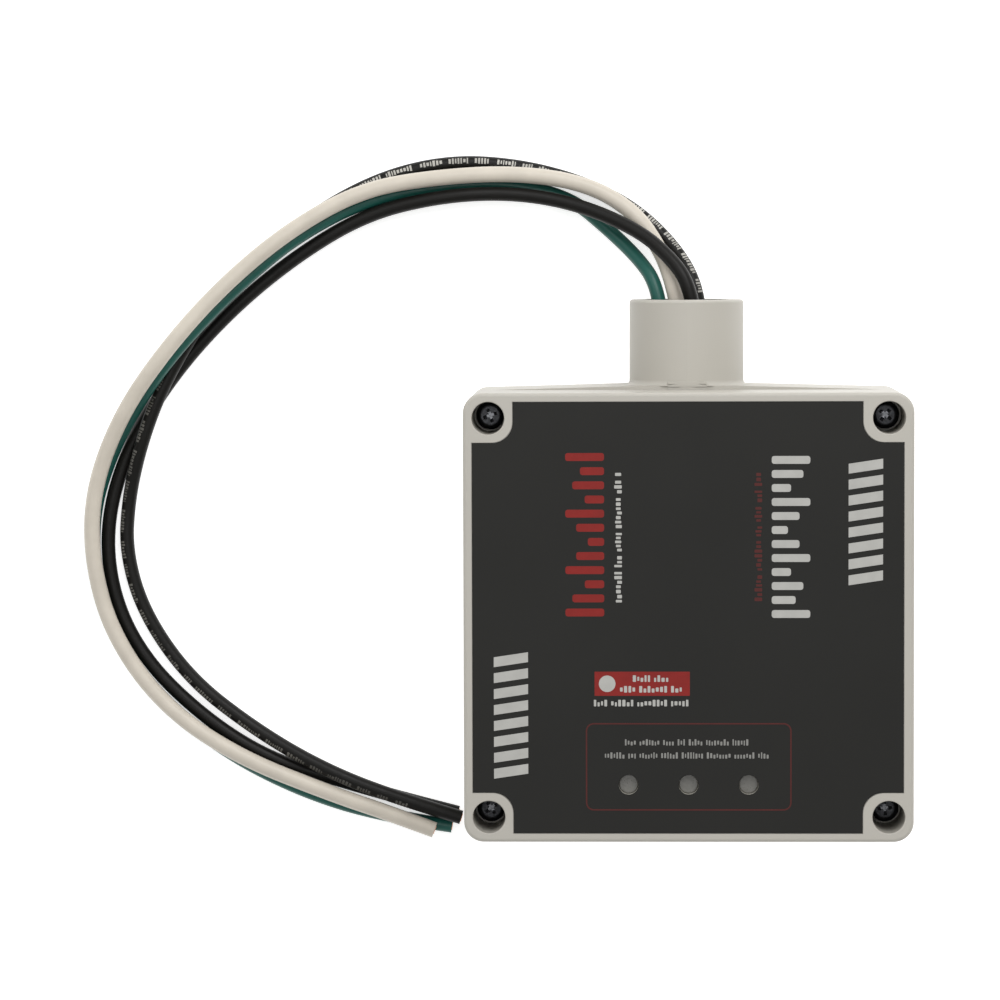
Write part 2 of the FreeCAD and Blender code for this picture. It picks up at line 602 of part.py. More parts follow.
# ---- leads ---------------------------------------------------------------------------------------
def rounded_path(points):
    """Straight runs joined by tangent arcs as large as the runs allow, and the arcs' radii."""
    spots = [Vector(*p) for p in points]
    edges = []
    radii = []
    start = spots[0]
    for before, corner, after in zip(spots, spots[1:], spots[2:]):
        incoming = corner - before
        outgoing = after - corner
        reach = ARC_SHARE * min(incoming.Length, outgoing.Length)
        turn = incoming.getAngle(outgoing)
        incoming.normalize()
        outgoing.normalize()
        radius = reach / math.tan(turn / 2)
        radii.append(radius)
        first = corner - incoming * reach
        last = corner + outgoing * reach
        inwards = (outgoing - incoming).normalize()
        middle = corner + inwards * radius * (1 / math.cos(turn / 2) - 1)
        edges.append(Part.LineSegment(start, first).toShape())
        edges.append(Part.Arc(first, middle, last).toShape())
        start = last
    edges.append(Part.LineSegment(start, spots[-1]).toShape())
    return Part.Wire(edges), radii


def tube(name, points, radius):
    """A round lead along a rounded path; prints its length, radii and volume check."""
    path, radii = rounded_path(points)
    heading = Vector(*points[1]) - Vector(*points[0])
    section = Part.Wire(Part.makeCircle(radius, Vector(*points[0]), heading))
    solid = path.makePipe(Part.Face(section))
    wanted = math.pi * radius ** 2 * path.Length
    print(f"{name}: length {path.Length:.1f}, volume over section times length "
          f"{solid.Volume / wanted:.4f}, radii " + " ".join(f"{r:.0f}" for r in radii))
    return solid


def tail_points(route, lane):
    """An inner tail's route from the seal to its lug."""
    x, _, z = route[0]
    return [(x, SEAL_IN, z), (x, TAIL_BEND[0], z), (lane, TAIL_BEND[1], LUG_Z),
            (lane, TAIL_END, LUG_Z)]


def lead_lug(radius, lane):
    """A crimp lug: a barrel around the tail's end on a soldered foot."""
    barrel = rod(Y_AXIS, (lane, LUG_Z), LUG_R, LUG_BACK, LUG_Y[1])
    breadth = (lane - LUG_FOOT / 2, lane + LUG_FOOT / 2)
    foot = block(breadth, LUG_FOOT_Y, (BOARD_TOP, BOARD_TOP + LUG_FOOT_THICK))
    neck = block(breadth, (LUG_BACK, LUG_FOOT_Y[1]), (BOARD_TOP, LUG_Z))
    bore = rod(Y_AXIS, (lane, LUG_Z), radius + LUG_FIT, LUG_Y[0], LUG_Y[1] + PAST)
    return joined([barrel, foot, neck]).cut(bore)


def hub_seal():
    """The plug that seals the hub's throat around the four leads."""
    plug = rod(Y_AXIS, (0, HUB_Z), THROAT_R, SEAL_IN, SEAL_OUT)
    holes = [rod(Y_AXIS, (route[0][0], route[0][2]), radius, SEAL_IN - PAST, SEAL_OUT + PAST)
             for _, route, radius, _ in LEADS]
    return plug.cut(holes)


def seal_core(route, radius):
    """The stretch of a lead that the seal grips."""
    return rod(Y_AXIS, (route[0][0], route[0][2]), radius, SEAL_IN, SEAL_OUT)


def main():
    os.makedirs("parts", exist_ok=True)
    save("rear_base", rear_base())
    save("front_cover", front_cover())
    save("cover_gasket", gasket_ring(BASE_TOP - GASKET_DEPTH, BASE_TOP + GASKET_PROUD))
    save("graphic_overlay", graphic_overlay())
    for side, at in zip(("left", "middle", "right"), light_places()):
        save(f"light_pipe_{side}", light_pipe(at))
    turned = zip(corners(SCREW_AT, SCREW_AT), COVER_SCREW_TURNS)
    for number, (at, turn) in enumerate(turned, 1):
        screw = pan_screw(at, WELL_FLOOR + SEAT_GAP, HEAD_R, HEAD_TOP, SHANK_R, SCREW_TIP, turn, True)
        save(f"cover_screw_{number}", screw)
    save("screw_inserts", Part.makeCompound([screw_insert(at) for at in corners(SCREW_AT, SCREW_AT)]))

    save("circuit_board", board_plate(0, BOARD_Z, BOARD_TOP, BOARD_HOLE_R))
    save("insulating_sheet", board_plate(SHEET_INSET, SHEET_Z, SHEET_Z + SHEET_THICK, SHEET_HOLE_R))
    screws = [pan_screw(at, BOARD_TOP, BOARD_HEAD_R, BOARD_TOP + BOARD_HEAD_HIGH, BOARD_SCREW_R,
                        BOARD_SCREW_TIP, turn)
              for at, turn in zip(board_screw_places(), BOARD_SCREW_TURNS)]
    save("board_screws", Part.makeCompound(screws))
    for bank, x in BANKS:
        save(f"varistors_{bank}", Part.makeCompound([varistor(x, y) for y in VARISTOR_ROWS]))
    save("thermal_fuses", Part.makeCompound([thermal_fuse(x) for _, x in BANKS]))
    clips = [fuse_clip(x + side * CLIP_OFFSET) for _, x in BANKS for side in (-1, 1)]
    save("fuse_clips", Part.makeCompound(clips))
    save("bus_bars", Part.makeCompound([bus_bar(x) for _, x in BANKS]))
    save("filter_capacitors", Part.makeCompound([film_capacitor(at) for at in CAPACITOR_AT]))
    save("gas_discharge_tube", discharge_tube())
    small = [x + SMALL_SHIFT for x, _ in light_places()]
    save("led_resistors", Part.makeCompound([axial_part(x, RESISTOR_Y, RESISTOR_R, RESISTOR_LONG)
                                             for x in small]))
    diodes = [x - SMALL_SHIFT for x, _ in light_places()]
    save("rectifier_diodes", Part.makeCompound([axial_part(x, RESISTOR_Y, DIODE_R, DIODE_LONG)
                                                for x in diodes]))
    save("status_leds", Part.makeCompound([status_led(at) for at in light_places()]))

    save("hub_seal", hub_seal())
    save("lead_lugs", Part.makeCompound([lead_lug(radius, lane) for _, _, radius, lane in LEADS]))
    for name, route, radius, lane in LEADS:
        tail = tube(f"{name} tail", tail_points(route, lane), radius)
        save(f"{name}_tail", joined([seal_core(route, radius), tail]))
        save(f"{name}_lead", tube(f"{name} lead", route, radius))


main()
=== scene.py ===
"""Looks of the whole house surge protector: materials, printed marks, leads, light and camera."""
import math
import random

import bmesh
import bpy
from mathutils import Matrix, Vector


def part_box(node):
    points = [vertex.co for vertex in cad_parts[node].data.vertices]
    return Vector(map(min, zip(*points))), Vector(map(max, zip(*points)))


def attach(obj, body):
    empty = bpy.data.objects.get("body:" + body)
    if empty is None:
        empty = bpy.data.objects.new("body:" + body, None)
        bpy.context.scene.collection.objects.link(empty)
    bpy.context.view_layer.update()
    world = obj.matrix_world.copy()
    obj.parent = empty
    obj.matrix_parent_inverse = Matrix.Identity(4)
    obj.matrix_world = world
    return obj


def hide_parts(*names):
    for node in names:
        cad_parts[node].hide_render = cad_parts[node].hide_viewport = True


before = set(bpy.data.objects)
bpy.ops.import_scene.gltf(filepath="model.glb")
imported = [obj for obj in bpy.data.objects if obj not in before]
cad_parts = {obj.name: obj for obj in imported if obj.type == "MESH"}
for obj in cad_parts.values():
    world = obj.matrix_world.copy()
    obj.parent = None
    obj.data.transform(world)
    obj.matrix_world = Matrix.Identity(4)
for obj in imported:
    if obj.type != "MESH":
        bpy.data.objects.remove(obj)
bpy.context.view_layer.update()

MM = 0.001
SURFACE = 0.0                   # height of the floor that everything lies on

# ---- camera and light; lengths in millimetres, lights' places in metres --------------------------
CAMERA_AT = (-16.2, 109.3, 1404.8)
CAMERA_AIM = (-54.3, 34.2, 62.0)
CAMERA_ROLL = -0.003
CAMERA_LENS = 168.0
SENSOR_WIDTH = 36.0
FAR_CLIP = 20.0                 # in metres
LIGHT_AIM = (-0.05, 0.03, 0.03)
# name, place, size and energy
LIGHTS = (
    ("key", (0.27, 0.85, 0.95), 0.8, 10.6),
    ("fill", (-0.9, 0.7, 1.3), 1.0, 4.0),
    ("front", (-0.03, 0.1, 1.6), 0.4, 2.0),
)
ROOM_LEVEL = 0.56               # light that the room gives
BACKDROP_LEVEL = 1.1            # how bright the room looks beyond the floor's edge
FLOOR_HALF = 3.0                # half the floor's side, in metres
FLOOR_DROP = 0.05               # the floor lies this far under the lowest parts
FLOOR_GLOW = 0.60

# ---- circuit board, in millimetres ---------------------------------------------------------------
BOARD_TOP = 11.6                # the board's upper face
BANK_PITCH = 29.0               # from one varistor bank to the next
BANKS = (-BANK_PITCH, 0.0, BANK_PITCH)
DISC_ROWS = (-13.0, -4.0, 5.0)  # Y of the three discs in a bank
DISC_LEG = 5.0                  # from a disc's middle to each of its legs
FUSE_CAP_FROM = 5.0             # a fuse's caps start this far from its middle
FUSES_Y = 19.0
CAPACITORS_X = (-27.0, 27.0)
CAPACITORS_Y = -28.0
TUBE_AT = (0.0, -27.0)
LIGHTS_X = (-17.35, 0.0, 17.35)
LIGHTS_Y = -40.5                # middle of the small parts beside the status lights
BESIDE_LIGHT = 4.9              # a resistor lies this far right of its light, a diode left
RESISTOR_FOOT = 5.2             # from a resistor's middle to where each leg meets the board
DIODE_FOOT = 3.7

# ---- ink, in millimetres and radians -------------------------------------------------------------
INK_THICK = 0.03
# stretches of the marked lead that carry ink: start, end and how far the ink leans over
FRESH_STRETCHES = ((18, 55, 0.7), (60, 140, 0.35))
WORN_STRETCHES = ((145, 200, 0.5), (202, 392, 0.72))
MARK_LENGTHS = (0.3, 0.75)
MARK_HALF_ANGLES = (0.26, 0.36, 0.44)
MARK_GAP = 0.35
WORD_GAPS = (1.2, 2.4)
PATCH_LIFTS = (0.004, 0.03)     # a patch's inner and outer height over the jacket

# ---- cut ends of the leads -----------------------------------------------------------------------
STRAND_R = 0.25
STRAND_SIDES = 10
STRAND_RINGS = ((6, 2.08), (12, 4.1))           # count and radius, in strand radii

# Each lead's route in millimetres: out of the seal and round the loop.
GROUND_ROUTE = [
    (-7.1, 75.0, 15.4), (-6.9, 83.6, 15.3), (-9.2, 96.4, 14.4), (-14.3, 103.5, 9.0),
    (-22.6, 111.6, 3.8), (-34.6, 121.8, 2.2), (-54.1, 126.3, 2.2), (-75.0, 125.1, 2.2),
    (-96.2, 121.2, 2.9), (-116.9, 110.2, 7.2), (-133.5, 96.3, 8.6), (-145.1, 84.9, 9.8),
    (-155.2, 73.4, 11.3), (-165.0, 59.9, 7.7), (-174.0, 43.5, 2.6), (-179.0, 26.6, 2.2),
    (-178.6, 8.1, 2.2), (-173.3, -9.5, 2.2), (-160.2, -28.2, 2.2), (-139.8, -45.1, 2.2),
    (-116.0, -57.3, 2.2), (-91.9, -64.7, 2.2), (-70.8, -67.8, 2.2),
]
NEUTRAL_ROUTE = [
    (-1.8, 75.0, 15.2), (-1.6, 83.6, 14.9), (-4.1, 96.7, 15.4), (-8.0, 106.6, 8.4),
    (-15.6, 117.6, 7.5), (-29.7, 125.9, 6.7), (-50.8, 129.1, 6.7), (-74.9, 127.9, 6.8),
    (-97.3, 124.1, 7.2), (-118.7, 112.1, 10.9), (-138.1, 95.9, 13.2), (-154.6, 77.7, 15.6),
    (-169.1, 57.4, 13.1), (-178.4, 34.6, 7.6), (-179.0, 12.8, 6.7), (-172.8, -9.7, 6.7),
    (-157.6, -31.0, 6.7), (-135.2, -46.4, 6.7), (-106.6, -57.7, 6.7), (-91.4, -62.8, 6.7),
    (-75.9, -68.5, 6.7),
]
LINE1_ROUTE = [
    (2.9, 75.0, 20.4), (3.1, 83.6, 20.1), (0.3, 96.6, 20.4), (-4.9, 103.8, 17.6),
    (-14.4, 112.0, 13.0), (-32.8, 119.9, 7.8), (-52.4, 123.2, 6.0), (-73.6, 122.2, 6.4),
    (-96.2, 116.8, 3.8), (-117.4, 104.2, 2.2), (-137.0, 88.2, 2.2), (-154.3, 69.2, 2.2),
    (-168.2, 47.2, 2.2), (-175.1, 24.2, 2.2), (-173.2, 2.0, 2.2), (-163.6, -17.5, 2.2),
    (-146.0, -34.7, 2.2), (-126.7, -47.2, 2.2), (-105.4, -53.8, 2.2), (-87.1, -59.1, 2.2),
    (-68.9, -63.8, 2.2),
]
LINE2_ROUTE = [
    (4.2, 75.0, 12.2), (4.4, 83.6, 11.9), (2.7, 96.4, 11.4), (-3.9, 107.4, 5.2),
    (-15.4, 118.4, 2.3), (-30.4, 126.1, 2.2), (-49.5, 131.3, 2.2), (-70.6, 132.7, 2.2),
    (-91.8, 127.8, 2.2), (-112.4, 116.6, 2.2), (-130.6, 101.8, 3.0), (-144.0, 87.3, 4.8),
    (-152.9, 73.4, 6.7), (-159.2, 60.8, 7.2), (-164.4, 46.2, 6.2), (-168.1, 31.3, 2.3),
    (-169.1, 15.4, 2.2), (-163.8, -3.2, 2.2), (-150.1, -23.1, 2.2), (-130.7, -38.2, 2.4),
    (-111.1, -49.3, 6.4), (-89.8, -58.1, 6.7), (-67.8, -64.7, 6.7),
]
# lead, route, length in metres, diameter in millimetres and slot
LEADS = (
    ("ground", GROUND_ROUTE, 0.411, 4.2, "pvc_green"),
    ("neutral", NEUTRAL_ROUTE, 0.417, 4.8, "pvc_white"),
    ("line1", LINE1_ROUTE, 0.405, 4.2, "pvc_black"),
    ("line2", LINE2_ROUTE, 0.411, 4.2, "pvc_black"),
)


# ---- camera, light and floor ---------------------------------------------------------------------
def make_camera():
    """A long lens straight in front of the cover, with its up side towards the hub."""
    data = bpy.data.cameras.new("camera")
    data.lens = CAMERA_LENS
    data.sensor_width = SENSOR_WIDTH
    data.clip_end = FAR_CLIP
    camera = bpy.data.objects.new("camera", data)
    bpy.context.scene.collection.objects.link(camera)
    camera.location = Vector(CAMERA_AT) * MM
    aim = Vector(CAMERA_AIM) * MM
    forward = (aim - camera.location).normalized()
    right = forward.cross(Vector((0, 1, 0))).normalized()
    up = right.cross(forward)
    level = Matrix((right, up, -forward)).transposed()
    roll = Matrix.Rotation(CAMERA_ROLL, 3, "Z")
    camera.rotation_euler = (level @ roll).to_euler()
    bpy.context.scene.camera = camera


def area_light(name, place, size, energy):
    """A square softbox that points at the object."""
    data = bpy.data.lights.new(name, "AREA")
    data.size = size
    data.energy = energy
    light = bpy.data.objects.new(name, data)
    bpy.context.scene.collection.objects.link(light)
    light.location = place
    light.rotation_euler = (Vector(LIGHT_AIM) - Vector(place)).to_track_quat("-Z", "Y").to_euler()


def make_light():
    """Even studio light: a bright room, a key beyond the hub, a fill on the left and a front one."""
    world = bpy.data.worlds.new("studio")
    world.use_nodes = True
    background = world.node_tree.nodes["Background"]
    background.inputs["Color"].default_value = (1.0, 1.0, 1.0, 1)
    path = world.node_tree.nodes.new("ShaderNodeLightPath")
    level = world.node_tree.nodes.new("ShaderNodeMapRange")
    level.inputs["To Min"].default_value = ROOM_LEVEL
    level.inputs["To Max"].default_value = BACKDROP_LEVEL
    world.node_tree.links.new(path.outputs["Is Camera Ray"], level.inputs["Value"])
    world.node_tree.links.new(level.outputs["Result"], background.inputs["Strength"])
    bpy.context.scene.world = world
    for name, place, size, energy in LIGHTS:
        area_light(name, place, size, energy)
    bpy.context.scene.view_settings.view_transform = "Standard"


def make_floor():
    """A wide pale sheet, lit a little from below like a light table."""
    mesh = bpy.data.meshes.new("floor")
    shape = bmesh.new()
    bmesh.ops.create_grid(shape, x_segments=8, y_segments=8, size=FLOOR_HALF)
    shape.to_mesh(mesh)
    shape.free()
    floor = bpy.data.objects.new("floor", mesh)
    floor.location.z = SURFACE - FLOOR_DROP * MM
    bpy.context.scene.collection.objects.link(floor)
    paper = material("floor_paper", (0.88, 0.88, 0.875), 0.85, grain=(900, 0.02),
                     blotch=(40, 0.004))
    glow = paper.node_tree.nodes["Principled BSDF"]
    glow.inputs["Emission Color"].default_value = (1, 1, 1, 1)
    glow.inputs["Emission Strength"].default_value = FLOOR_GLOW
    mesh.materials.append(paper)


# ---- materials -----------------------------------------------------------------------------------
def material(name, colour, rough, metal=0.0, grain=(2500, 0.1), blotch=(60, 0.05),
             gloss_swing=0.08, stretch=(1, 1, 1), coat=0.0, specular=0.5, transmission=0.0,
             ior=1.46, subsurface=0.0):
    """A surface with fine bump grain, soft blotches of colour and uneven gloss.

    grain is (waves per metre, bump strength) and blotch is (waves per metre, share of colour).
    """
    made = bpy.data.materials.new(name)
    made.use_nodes = True
    tree = made.node_tree
    shader = tree.nodes["Principled BSDF"]
    place = tree.nodes.new("ShaderNodeTexCoord")
    scaled = tree.nodes.new("ShaderNodeMapping")
    scaled.inputs["Scale"].default_value = stretch
    tree.links.new(place.outputs["Object"], scaled.inputs["Vector"])

    large = noise(tree, scaled, blotch[0], 3.0)
    shades = tree.nodes.new("ShaderNodeValToRGB")
    low, high = shades.color_ramp.elements
    low.position, high.position = 0.3, 0.7
    low.color = (*[c * (1 - blotch[1]) for c in colour], 1)
    high.color = (*[min(1.0, c * (1 + blotch[1])) for c in colour], 1)
    tree.links.new(large.outputs["Fac"], shades.inputs["Fac"])
    tree.links.new(shades.outputs["Color"], shader.inputs["Base Color"])

    smudge = noise(tree, scaled, blotch[0] * 2.7, 4.0)
    gloss = tree.nodes.new("ShaderNodeMapRange")
    gloss.inputs["To Min"].default_value = max(0.02, rough - gloss_swing)
    gloss.inputs["To Max"].default_value = min(1.0, rough + gloss_swing)
    tree.links.new(smudge.outputs["Fac"], gloss.inputs["Value"])
    tree.links.new(gloss.outputs["Result"], shader.inputs["Roughness"])

    fine = noise(tree, scaled, grain[0], 2.0)
    bump = tree.nodes.new("ShaderNodeBump")
    bump.inputs["Strength"].default_value = grain[1]
    bump.inputs["Distance"].default_value = 0.1 * MM
    tree.links.new(fine.outputs["Fac"], bump.inputs["Height"])
    tree.links.new(bump.outputs["Normal"], shader.inputs["Normal"])

    shader.inputs["Metallic"].default_value = metal
    shader.inputs["Coat Weight"].default_value = coat
    shader.inputs["Specular IOR Level"].default_value = specular
    shader.inputs["Transmission Weight"].default_value = transmission
    shader.inputs["IOR"].default_value = ior
    if subsurface:
        shader.inputs["Subsurface Weight"].default_value = subsurface
        shader.inputs["Subsurface Radius"].default_value = (1.0, 0.9, 0.8)
        shader.inputs["Subsurface Scale"].default_value = 1.0 * MM
    return made


def noise(tree, vector_node, scale, detail):
    """A noise texture in the object's own space."""
    node = tree.nodes.new("ShaderNodeTexNoise")
    node.inputs["Scale"].default_value = scale
    node.inputs["Detail"].default_value = detail
    tree.links.new(vector_node.outputs["Vector"], node.inputs["Vector"])
    return node


def dress(node_names, made):
    """Gives CAD nodes a material in place of their plain one."""
    for name in node_names:
        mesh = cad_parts[name].data
        mesh.materials.clear()
        mesh.materials.append(made)


def dress_nodes():
    """Every CAD node that stays in view gets its own finish."""
    dress(["rear_base", "front_cover"],
          material("case_moulding", (0.402, 0.384, 0.343), 0.47, grain=(2600, 0.10),
                   blotch=(9, 0.025), gloss_swing=0.06, subsurface=0.06))
    dress(["graphic_overlay"],
          material("overlay_satin", (0.0140, 0.0138, 0.0124), 0.50, grain=(5200, 0.05),
                   blotch=(22, 0.06), gloss_swing=0.05, specular=0.2))
    dress(["cover_gasket"], material("gasket_foam", (0.03, 0.03, 0.03), 0.85, grain=(4000, 0.5)))
    dress([f"light_pipe_{side}" for side in ("left", "middle", "right")],
          material("pipe_acrylic", (0.165, 0.161, 0.145), 0.3, grain=(1800, 0.12),
                   blotch=(700, 0.12), transmission=0.2, ior=1.49, coat=0.5))
    dress([f"cover_screw_{i}" for i in (1, 2, 3, 4)], screw_steel())
    dress(["screw_inserts"], material("insert_brass", (0.62, 0.43, 0.17), 0.3, metal=1.0,
                                      grain=(3000, 0.15), blotch=(400, 0.12)))
    dress(["fuse_clips"], material("clip_bronze", (0.66, 0.50, 0.24), 0.26, metal=1.0,
                                   grain=(2600, 0.1), blotch=(300, 0.15)))
    dress(["circuit_board"], material("board_mask", (0.02, 0.115, 0.045), 0.32, grain=(5000, 0.12),
                                      blotch=(160, 0.22), coat=0.25))
    dress(["insulating_sheet"], material("fish_paper", (0.46, 0.42, 0.31), 0.8, grain=(1500, 0.25),
                                         stretch=(1, 4, 1)))
    dress(["board_screws"], material("screw_zinc", (0.62, 0.62, 0.60), 0.3, metal=1.0,
                                     grain=(3000, 0.12), blotch=(500, 0.15)))
    dress([f"varistors_{bank}" for bank in ("line1", "line2", "neutral")],
          material("varistor_epoxy", (0.012, 0.07, 0.26), 0.3, grain=(700, 0.35), blotch=(180, 0.2),
                   coat=0.2))
    dress(["thermal_fuses"], fuse_body())
    dress(["bus_bars"], material("bus_copper", (0.70, 0.30, 0.17), 0.28, metal=1.0,
                                 grain=(1800, 0.25), blotch=(140, 0.18), stretch=(1, 12, 1)))
    dress(["lead_lugs"], material("lug_tin", (0.66, 0.66, 0.64), 0.36, metal=1.0, grain=(2500, 0.2),
                                  blotch=(320, 0.14)))
    dress(["filter_capacitors"], material("capacitor_case", (0.62, 0.37, 0.035), 0.4,
                                          grain=(2400, 0.12), blotch=(120, 0.06)))
    dress(["gas_discharge_tube"], material("tube_ceramic", (0.68, 0.60, 0.55), 0.4,
                                           grain=(2600, 0.12)))
    dress(["led_resistors"], material("resistor_lacquer", (0.42, 0.28, 0.14), 0.35,
                                      grain=(1500, 0.2), blotch=(600, 0.2)))
    dress(["rectifier_diodes"], material("diode_epoxy", (0.02, 0.02, 0.02), 0.35,
                                         grain=(2600, 0.15)))
    dress(["status_leds"], material("led_epoxy", (0.48, 0.56, 0.48), 0.25, grain=(1500, 0.08),
                                    transmission=0.4, coat=0.3))
    dress(["hub_seal"], material("seal_compound", (0.045, 0.045, 0.045), 0.55, grain=(900, 0.45),
                                 blotch=(240, 0.25)))


def screw_steel():
    """Black oxide steel with a lighter colour painted into its cross recess as painted glints.

    The recess is found in the screw's own box, as shares of its width and of its length.
    """
    recess_reach, recess_floor, head_face = 0.3, 0.86, 0.993
    made = material("screw_black_oxide", (0.035, 0.036, 0.040), 0.34, metal=0.75, grain=(3500, 0.18),
                    blotch=(900, 0.3), gloss_swing=0.12)
    tree = made.node_tree
    shader = tree.nodes["Principled BSDF"]
    place = tree.nodes.new("ShaderNodeTexCoord")
    middle = tree.nodes.new("ShaderNodeMapping")
    middle.inputs["Location"].default_value = (-0.5, -0.5, 0)
    tree.links.new(place.outputs["Generated"], middle.inputs["Vector"])
    flat = tree.nodes.new("ShaderNodeVectorMath")
    flat.operation = "MULTIPLY"
    flat.inputs[1].default_value = (1, 1, 0)
    tree.links.new(middle.outputs["Vector"], flat.inputs[0])
    reach = tree.nodes.new("ShaderNodeVectorMath")
    reach.operation = "LENGTH"
    tree.links.new(flat.outputs["Vector"], reach.inputs[0])
    height = tree.nodes.new("ShaderNodeSeparateXYZ")
    tree.links.new(place.outputs["Generated"], height.inputs["Vector"])
    near_axis = maths(tree, "LESS_THAN", reach.outputs["Value"], recess_reach)
    below_top = maths(tree, "LESS_THAN", height.outputs["Z"], head_face)
    above_floor = maths(tree, "GREATER_THAN", height.outputs["Z"], recess_floor)
    # painted glints: the cross recess gets a lighter colour that stands for highlights
    painted_glint_mask = product(tree, product(tree, near_axis, below_top), above_floor)
    shade = tree.nodes.new("ShaderNodeMix")
    shade.data_type = "RGBA"
    old = shader.inputs["Base Color"].links[0].from_socket
    tree.links.new(painted_glint_mask, shade.inputs["Factor"])
    tree.links.new(old, shade.inputs["A"])
    # the lighter colour of the painted glints in the recess
    shade.inputs["B"].default_value = (0.19, 0.195, 0.21, 1)
    tree.links.new(shade.outputs["Result"], shader.inputs["Base Color"])
    return made


def fuse_body():
    """A white ceramic tube that turns to nickel-plated metal at its end caps."""
    made = material("fuse_ceramic", (0.72, 0.69, 0.62), 0.35, grain=(2500, 0.1), blotch=(150, 0.06),
                    coat=0.3)
    tree = made.node_tree
    shader = tree.nodes["Principled BSDF"]
    place = tree.nodes.new("ShaderNodeTexCoord")
    along = tree.nodes.new("ShaderNodeSeparateXYZ")
    tree.links.new(place.outputs["Object"], along.inputs["Vector"])
    from_middle = maths(tree, "PINGPONG", along.outputs["X"], BANK_PITCH * MM / 2)
    cap = maths(tree, "GREATER_THAN", from_middle, FUSE_CAP_FROM * MM)
    tree.links.new(cap, shader.inputs["Metallic"])
    return made


def maths(tree, operation, socket, number):
    """The result of a math node for a value and a number."""
    node = tree.nodes.new("ShaderNodeMath")
    node.operation = operation
    node.inputs[1].default_value = number
    tree.links.new(socket, node.inputs[0])
    return node.outputs["Value"]


def product(tree, first, second):
    """Two values multiplied."""
    node = tree.nodes.new("ShaderNodeMath")
    node.operation = "MULTIPLY"
    tree.links.new(first, node.inputs[0])
    tree.links.new(second, node.inputs[1])
    return node.outputs["Value"]


def lead_materials():
    """The three jacket colours: a thin glossy nylon skin over PVC."""
    common = dict(grain=(1500, 0.09), blotch=(110, 0.06), gloss_swing=0.08)
    return {
        "pvc_green": material("jacket_green", (0.010, 0.080, 0.064), 0.38, specular=0.35, **common),
        "pvc_white": material("jacket_white", (0.535, 0.49, 0.42), 0.4, specular=0.4, **common),
        "pvc_black": material("jacket_black", (0.0062, 0.0058, 0.005), 0.42, specular=0.2, **common),
    }


# ---- meshes --------------------------------------------------------------------------------------
def add_mesh(name, shape, made, body):
    """A bmesh as a piece that rides on a body."""
    mesh = bpy.data.meshes.new(name)
    bmesh.ops.recalc_face_normals(shape, faces=shape.faces)
    shape.to_mesh(mesh)
    shape.free()
    mesh.materials.append(made)
    piece = bpy.data.objects.new(name, mesh)
    bpy.context.scene.collection.objects.link(piece)
    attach(piece, body)
    return piece


def prism(shape, outline, low, high, hole=()):
    """A flat shape between two heights; hole is an inner outline with as many points."""
    def ring(points, z):
        return [shape.verts.new((x, y, z)) for x, y in points]
    count = len(outline)
    outer_low, outer_high = ring(outline, low), ring(outline, high)
    inner_low, inner_high = ring(hole, low), ring(hole, high)
    if not hole:
        shape.faces.new(outer_high)
        shape.faces.new(outer_low[::-1])
    for i in range(count):
        j = (i + 1) % count
        shape.faces.new((outer_low[i], outer_low[j], outer_high[j], outer_high[i]))
        if hole:
            shape.faces.new((inner_high[i], inner_high[j], inner_low[j], inner_low[i]))
            shape.faces.new((outer_high[i], outer_high[j], inner_high[j], inner_high[i]))
            shape.faces.new((inner_low[i], inner_low[j], outer_low[j], outer_low[i]))


def rounded_outline(centre, size, radius, steps=5):
    """The corner arcs of a rounded rectangle, as points in metres."""
    points = []
    for quarter, (sx, sy) in enumerate(((1, 1), (-1, 1), (-1, -1), (1, -1))):
        cx = centre[0] + sx * (size[0] / 2 - radius)
        cy = centre[1] + sy * (size[1] / 2 - radius)
        for step in range(steps + 1):
            angle = math.pi / 2 * (quarter + step / steps)
            points.append(((cx + radius * math.cos(angle)) * MM,
                           (cy + radius * math.sin(angle)) * MM))
    return points


def turned(shape, rings, centre, along="Z", sides=20):
    """A profile turned about an axis and closed on itself; rings are (radius, height) pairs."""
    loops = []
    for radius, height in rings:
        loop = []
        for k in range(sides):
            u = radius * math.cos(math.tau * k / sides)
            v = radius * math.sin(math.tau * k / sides)
            spot = (centre[0] + u, centre[1] + v, centre[2] + height)
            if along == "Y":
                spot = (centre[0] + u, centre[1] + height, centre[2] + v)
            loop.append(shape.verts.new([value * MM for value in spot]))
        loops.append(loop)
    for lower, upper in zip(loops, loops[1:] + loops[:1]):
        for k in range(sides):
            j = (k + 1) % sides
            shape.faces.new((lower[k], lower[j], upper[j], upper[k]))


# ---- printed marks on the overlay ----------------------------------------------------------------
def ink_heights():
    """The overlay's face and the ink's own face above it."""
    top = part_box("graphic_overlay")[1][2]
    return top, top + INK_THICK * MM


def word_bars(shape, centre, size, seed, upright=False, share=0.8):
    """A row of small blocks in word-like groups, which stands for a printed line."""
    low, high = ink_heights()
    draw = random.Random(seed)
    length, height = size
    place = -length / 2
    while place < length / 2 - 0.3:
        for _ in range(draw.randint(3, 8)):
            wide = height * draw.uniform(0.35, 0.62) * share
            tall = height * draw.choice((0.62, 0.62, 0.8, 1.0))
            if place + wide > length / 2:
                break
            along, across = place + wide / 2, (tall - height) / 2 * draw.choice((1, 0.2))
            middle = (centre[0] + along, centre[1] + across)
            block = (wide, tall)
            if upright:
                middle = (centre[0] - across, centre[1] + along)
                block = (tall, wide)
            prism(shape, rounded_outline(middle, block, min(block) * 0.2, 2), low, high)
            place += wide + height * 0.2
        place += height * 0.42


